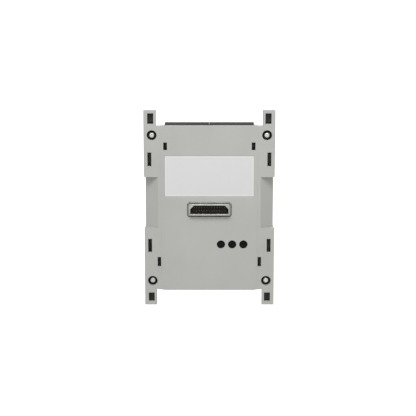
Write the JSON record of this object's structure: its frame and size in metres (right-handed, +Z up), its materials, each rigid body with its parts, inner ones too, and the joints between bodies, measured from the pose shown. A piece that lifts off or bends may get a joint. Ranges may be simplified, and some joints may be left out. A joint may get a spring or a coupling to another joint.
{
  "type": "plug-on controller module",
  "caption": "Flat light-grey plug-on module housing with latching corner legs, a central stacking socket, rotary address switches, a blank label field and pluggable terminals on its top edge.",
  "frame": {"origin": "centre of the rear mounting plane, on the module's vertical middle plane, halfway up its legs", "axes": "+X right as seen from the front, +Y from the front face to the rear mounting plane, +Z up along the legs"},
  "size_m": [0.13, 0.0326, 0.196],
  "materials": {
    "housing_plastic": "fine spark-eroded moulding texture, light grey",
    "label_white": "blank satin film, very light grey",
    "label_silver": "blank satin polyester rating label",
    "circuit_board": "green solder resist",
    "zinc_steel": "zinc-plated",
    "bright_steel": "bright nickel-plated",
    "black_rubber": "matt black",
    "connector_shell": "tin-plated pressing, dull",
    "black_plastic": "glass-filled, slightly satin black",
    "gold_contact": "gold-flashed",
    "terminal_plastic": "dark grey moulded polyamide",
    "tin_contact": "tin-plated",
    "chip_epoxy": "moulded epoxy, laser-matt",
    "white_epoxy": "off-white moulded epoxy",
    "capacitor_can": "drawn can, satin",
    "latch_plastic": "dark grey moulded polyamide",
    "spring_steel": "drawn spring wire"
  },
  "bodies": {
    "housing": {"front_shell": "housing_plastic", "rear_shell": "housing_plastic", "front_label": "label_white", "rear_label": "label_silver", "main_board": "circuit_board", "board_screws": "zinc_steel", "corner_screws": "bright_steel", "corner_washers": "black_rubber", "stack_socket_shroud": "connector_shell", "stack_socket_insulator": "black_plastic", "stack_socket_contacts": "gold_contact", "bus_plug_insulator": "black_plastic", "bus_plug_pins": "gold_contact", "address_switch_bases": "black_plastic", "terminal_headers": "terminal_plastic", "terminal_header_pins": "tin_contact", "processor": "chip_epoxy", "memory_chips": "chip_epoxy", "optocouplers": "white_epoxy", "supply_converter": "black_plastic", "capacitors": "capacitor_can", "inductor": "chip_epoxy", "battery_holder": "black_plastic", "backup_battery": "bright_steel"},
    "rotor_hundreds": {"address_rotor_hundreds": "black_plastic"},
    "rotor_tens": {"address_rotor_tens": "black_plastic"},
    "rotor_units": {"address_rotor_units": "black_plastic"},
    "plug_1": {"terminal_plug_1": "terminal_plastic", "terminal_screws_1": "zinc_steel", "wire_clamps_1": "tin_contact"},
    "plug_2": {"terminal_plug_2": "terminal_plastic", "terminal_screws_2": "zinc_steel", "wire_clamps_2": "tin_contact"},
    "plug_3": {"terminal_plug_3": "terminal_plastic", "terminal_screws_3": "zinc_steel", "wire_clamps_3": "tin_contact"},
    "plug_4": {"terminal_plug_4": "terminal_plastic", "terminal_screws_4": "zinc_steel", "wire_clamps_4": "tin_contact"},
    "latch_upper_left_body": {"latch_upper_left": "latch_plastic", "spring_upper_left": "spring_steel"},
    "latch_upper_right_body": {"latch_upper_right": "latch_plastic", "spring_upper_right": "spring_steel"},
    "latch_lower_left_body": {"latch_lower_left": "latch_plastic", "spring_lower_left": "spring_steel"},
    "latch_lower_right_body": {"latch_lower_right": "latch_plastic", "spring_lower_right": "spring_steel"}
  },
  "joints": [
    {"name": "turn_address_hundreds", "type": "hinge", "parent": "housing", "child": "rotor_hundreds", "pos_m": [0.0116, -0.0175, -0.0361], "axis": [0, 1, 0], "continuous": true},
    {"name": "turn_address_tens", "type": "hinge", "parent": "housing", "child": "rotor_tens", "pos_m": [0.02285, -0.0175, -0.0361], "axis": [0, 1, 0], "continuous": true},
    {"name": "turn_address_units", "type": "hinge", "parent": "housing", "child": "rotor_units", "pos_m": [0.0341, -0.0175, -0.0361], "axis": [0, 1, 0], "continuous": true},
    {"name": "pull_plug_1", "type": "slide", "parent": "housing", "child": "plug_1", "axis": [0, 0, 1], "range_m": [0, 0.024]},
    {"name": "pull_plug_2", "type": "slide", "parent": "housing", "child": "plug_2", "axis": [0, 0, 1], "range_m": [0, 0.024]},
    {"name": "pull_plug_3", "type": "slide", "parent": "housing", "child": "plug_3", "axis": [0, 0, 1], "range_m": [0, 0.024]},
    {"name": "pull_plug_4", "type": "slide", "parent": "housing", "child": "plug_4", "axis": [0, 0, 1], "range_m": [0, 0.024]},
    {"name": "release_latch_upper_left", "type": "slide", "parent": "housing", "child": "latch_upper_left_body", "axis": [0, 0, -1], "range_m": [0, 0.0022], "stiffness_N_per_m": 600, "springref_m": -0.0015, "deforming": ["spring_upper_left"]},
    {"name": "release_latch_upper_right", "type": "slide", "parent": "housing", "child": "latch_upper_right_body", "axis": [0, 0, -1], "range_m": [0, 0.0022], "stiffness_N_per_m": 600, "springref_m": -0.0015, "deforming": ["spring_upper_right"]},
    {"name": "release_latch_lower_left", "type": "slide", "parent": "housing", "child": "latch_lower_left_body", "axis": [0, 0, 1], "range_m": [0, 0.0022], "stiffness_N_per_m": 600, "springref_m": -0.0015, "deforming": ["spring_lower_left"]},
    {"name": "release_latch_lower_right", "type": "slide", "parent": "housing", "child": "latch_lower_right_body", "axis": [0, 0, 1], "range_m": [0, 0.0022], "stiffness_N_per_m": 600, "springref_m": -0.0015, "deforming": ["spring_lower_right"]}
  ]
}
